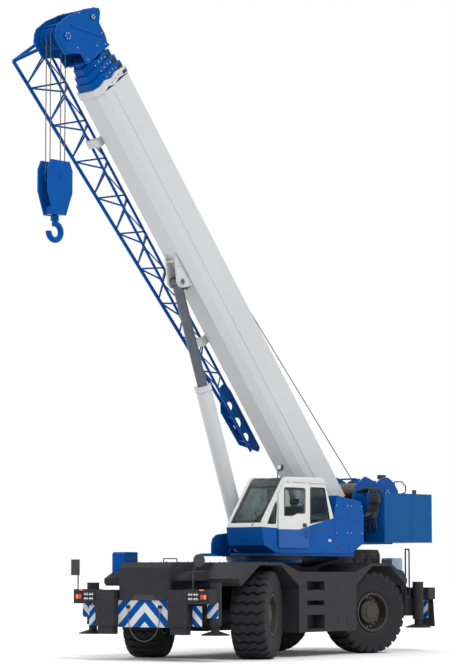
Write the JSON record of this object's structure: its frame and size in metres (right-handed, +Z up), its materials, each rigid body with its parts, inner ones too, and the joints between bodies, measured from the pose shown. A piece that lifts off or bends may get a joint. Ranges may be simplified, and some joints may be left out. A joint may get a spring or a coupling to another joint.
{
  "type": "rough-terrain crane",
  "caption": "Two-axle rough-terrain mobile crane with slewing upper, side cab, telescopic boom on one lift cylinder, stowed lattice jib, hook block and outriggers.",
  "frame": {"origin": "on the ground under the middle of the wheelbase, on the carrier centreline", "axes": "+X carrier forward, +Y its left, +Z up"},
  "size_m": [11.415, 4.4548, 13.2422],
  "materials": {
    "blue": "gloss paint",
    "dark_blue": "gloss paint",
    "white": "gloss paint",
    "charcoal": "satin paint",
    "steel": "machined",
    "dark_chrome": "hard chrome",
    "rubber": "matt",
    "glass": "tinted",
    "lamp": "lens",
    "black": "matt",
    "rope": "wire rope",
    "seat": "woven",
    "cast": "cast"
  },
  "bodies": {
    "carrier": {"axles": "cast", "carrier_frame": "charcoal", "deck_box": "blue", "engine_block": "cast", "front_body": "charcoal", "front_bumper": "charcoal", "handrails": "charcoal", "lamps": "lamp", "mirrors": "black", "outrigger_boxes": "charcoal", "rear_body": "charcoal", "rear_bumper": "charcoal", "side_decks": "charcoal", "tank": "blue", "tow_rope": "rope"},
    "upper": {"boom_cheeks": "blue", "cab_glass": "glass", "cab_seat": "seat", "cab_shell": "white", "counterweight": "dark_blue", "side_body": "blue", "turntable": "blue", "winch_frame": "blue"},
    "boom": {"boom_base": "white", "jib_truss": "blue"},
    "boom_head": {"boom_head": "blue", "head_sheaves": "steel"},
    "boom_section_2": {"boom_section_2": "blue"},
    "boom_section_3": {"boom_section_3": "blue"},
    "boom_section_4": {"boom_section_4": "blue"},
    "cab_door": {"cab_door": "white"},
    "hook": {"hook": "blue"},
    "hook_block": {"hook_block": "blue", "hook_falls": "rope"},
    "jack_front_left": {"jack_front_left": "charcoal"},
    "jack_front_right": {"jack_front_right": "charcoal"},
    "jack_rear_left": {"jack_rear_left": "charcoal"},
    "jack_rear_right": {"jack_rear_right": "charcoal"},
    "knuckle_front_left": {"knuckle_front_left": "cast"},
    "knuckle_front_right": {"knuckle_front_right": "cast"},
    "knuckle_rear_left": {"knuckle_rear_left": "cast"},
    "knuckle_rear_right": {"knuckle_rear_right": "cast"},
    "lift_barrel": {"lift_barrel": "white"},
    "lift_rod": {"lift_rod": "dark_chrome"},
    "outrigger_front_left": {"outrigger_front_left": "charcoal"},
    "outrigger_front_right": {"outrigger_front_right": "charcoal"},
    "outrigger_rear_left": {"outrigger_rear_left": "charcoal"},
    "outrigger_rear_right": {"outrigger_rear_right": "charcoal"},
    "wheel_front_left": {"rim_front_left": "charcoal", "tyre_front_left": "rubber"},
    "wheel_front_right": {"rim_front_right": "charcoal", "tyre_front_right": "rubber"},
    "wheel_rear_left": {"rim_rear_left": "charcoal", "tyre_rear_left": "rubber"},
    "wheel_rear_right": {"rim_rear_right": "charcoal", "tyre_rear_right": "rubber"},
    "winch_aux": {"winch_aux": "steel"},
    "winch_main": {"winch_main": "steel"}
  },
  "joints": [
    {"name": "steer_front_left", "type": "hinge", "parent": "carrier", "child": "knuckle_front_left", "pos_m": [2.375, 1, 0.9], "axis": [0, 0, 1], "range_deg": [-48, 12]},
    {"name": "roll_front_left", "type": "hinge", "parent": "knuckle_front_left", "child": "wheel_front_left", "pos_m": [2.28848, 1.2663, 0.9], "axis": [-0.309, 0.9511, 0], "continuous": true},
    {"name": "extend_front_left", "type": "slide", "parent": "carrier", "child": "outrigger_front_left", "axis": [0, 1, 0], "range_m": [0, 2.1]},
    {"name": "jack_front_left", "type": "slide", "parent": "outrigger_front_left", "child": "jack_front_left", "axis": [0, 0, -1], "range_m": [0, 0.42]},
    {"name": "steer_front_right", "type": "hinge", "parent": "carrier", "child": "knuckle_front_right", "pos_m": [2.375, -1, 0.9], "axis": [0, 0, 1], "range_deg": [-48, 12]},
    {"name": "roll_front_right", "type": "hinge", "parent": "knuckle_front_right", "child": "wheel_front_right", "pos_m": [2.46152, -1.2663, 0.9], "axis": [-0.309, 0.9511, 0], "continuous": true},
    {"name": "extend_front_right", "type": "slide", "parent": "carrier", "child": "outrigger_front_right", "axis": [0, -1, 0], "range_m": [0, 2.1]},
    {"name": "jack_front_right", "type": "slide", "parent": "outrigger_front_right", "child": "jack_front_right", "axis": [0, 0, -1], "range_m": [0, 0.42]},
    {"name": "steer_rear_left", "type": "hinge", "parent": "carrier", "child": "knuckle_rear_left", "pos_m": [-2.375, 1, 0.9], "axis": [0, 0, 1], "range_deg": [-6, 54]},
    {"name": "roll_rear_left", "type": "hinge", "parent": "knuckle_rear_left", "child": "wheel_rear_left", "pos_m": [-2.26111, 1.25579, 0.9], "axis": [0.4067, 0.9135, 0], "continuous": true},
    {"name": "extend_rear_left", "type": "slide", "parent": "carrier", "child": "outrigger_rear_left", "axis": [0, 1, 0], "range_m": [0, 2.1]},
    {"name": "jack_rear_left", "type": "slide", "parent": "outrigger_rear_left", "child": "jack_rear_left", "axis": [0, 0, -1], "range_m": [0, 0.42]},
    {"name": "steer_rear_right", "type": "hinge", "parent": "carrier", "child": "knuckle_rear_right", "pos_m": [-2.375, -1, 0.9], "axis": [0, 0, 1], "range_deg": [-6, 54]},
    {"name": "roll_rear_right", "type": "hinge", "parent": "knuckle_rear_right", "child": "wheel_rear_right", "pos_m": [-2.48889, -1.25579, 0.9], "axis": [0.4067, 0.9135, 0], "continuous": true},
    {"name": "extend_rear_right", "type": "slide", "parent": "carrier", "child": "outrigger_rear_right", "axis": [0, -1, 0], "range_m": [0, 2.1]},
    {"name": "jack_rear_right", "type": "slide", "parent": "outrigger_rear_right", "child": "jack_rear_right", "axis": [0, 0, -1], "range_m": [0, 0.42]},
    {"name": "slew", "type": "hinge", "parent": "carrier", "child": "upper", "pos_m": [-0.11, 0, 1.97], "axis": [0, 0, 1], "continuous": true},
    {"name": "door_slide", "type": "slide", "parent": "upper", "child": "cab_door", "axis": [-0.9816, 0.1908, 0], "range_m": [0, 0.7]},
    {"name": "winch_main_turn", "type": "hinge", "parent": "upper", "child": "winch_main", "pos_m": [-2.97635, 0.55716, 3.572], "axis": [-0.1908, -0.9816, 0], "continuous": true},
    {"name": "winch_aux_turn", "type": "hinge", "parent": "upper", "child": "winch_aux", "pos_m": [-3.68312, 0.69454, 3.572], "axis": [-0.1908, -0.9816, 0], "continuous": true},
    {"name": "luff", "type": "hinge", "parent": "upper", "child": "boom", "pos_m": [-2.1027, 0.38734, 3.105], "axis": [-0.1908, -0.9816, 0], "range_deg": [-52.7, 29.3]},
    {"name": "telescope_2", "type": "slide", "parent": "boom", "child": "boom_section_2", "axis": [0.6151, -0.1196, 0.7793], "range_m": [0, 8.75]},
    {"name": "telescope_3", "type": "slide", "parent": "boom_section_2", "child": "boom_section_3", "axis": [0.6151, -0.1196, 0.7793], "range_m": [0, 8.75]},
    {"name": "telescope_4", "type": "slide", "parent": "boom_section_3", "child": "boom_section_4", "axis": [0.6151, -0.1196, 0.7793], "range_m": [0, 8.75]},
    {"name": "telescope_5", "type": "slide", "parent": "boom_section_4", "child": "boom_head", "axis": [0.6151, -0.1196, 0.7793], "range_m": [0, 8.75]},
    {"name": "lift_rod_turn", "type": "hinge", "parent": "boom", "child": "lift_rod", "pos_m": [2.58835, -0.52451, 7.85975], "axis": [-0.1908, -0.9816, 0], "range_deg": [-19.7, 11.4]},
    {"name": "lift_barrel_slide", "type": "slide", "parent": "lift_rod", "child": "lift_barrel", "axis": [-0.3412, 0.0663, -0.9377], "range_m": [-1.974, 1.1019]},
    {"name": "fall_swing", "type": "hinge", "parent": "boom_head", "child": "hook_block", "pos_m": [6.0328, -1.19404, 12.51921], "axis": [-0.1908, -0.9816, 0], "range_deg": [-30.3, 53.7]},
    {"name": "hook_turn", "type": "hinge", "parent": "hook_block", "child": "hook", "pos_m": [6.0328, -1.19404, 8.9192], "axis": [0, 0, 1], "continuous": true}
  ],
  "couplings": [
    {"joint": "steer_front_right", "follows": "steer_front_left", "ratio": 1},
    {"joint": "steer_rear_right", "follows": "steer_rear_left", "ratio": 1},
    {"joint": "telescope_3", "follows": "telescope_2", "ratio": 1},
    {"joint": "telescope_4", "follows": "telescope_2", "ratio": 1},
    {"joint": "telescope_5", "follows": "telescope_2", "ratio": 1},
    {"joint": "lift_rod_turn", "follows": "luff", "ratio": 0.35486},
    {"joint": "lift_barrel_slide", "follows": "luff", "m_per_rad": 2.1353},
    {"joint": "fall_swing", "follows": "luff", "ratio": -1}
  ]
}
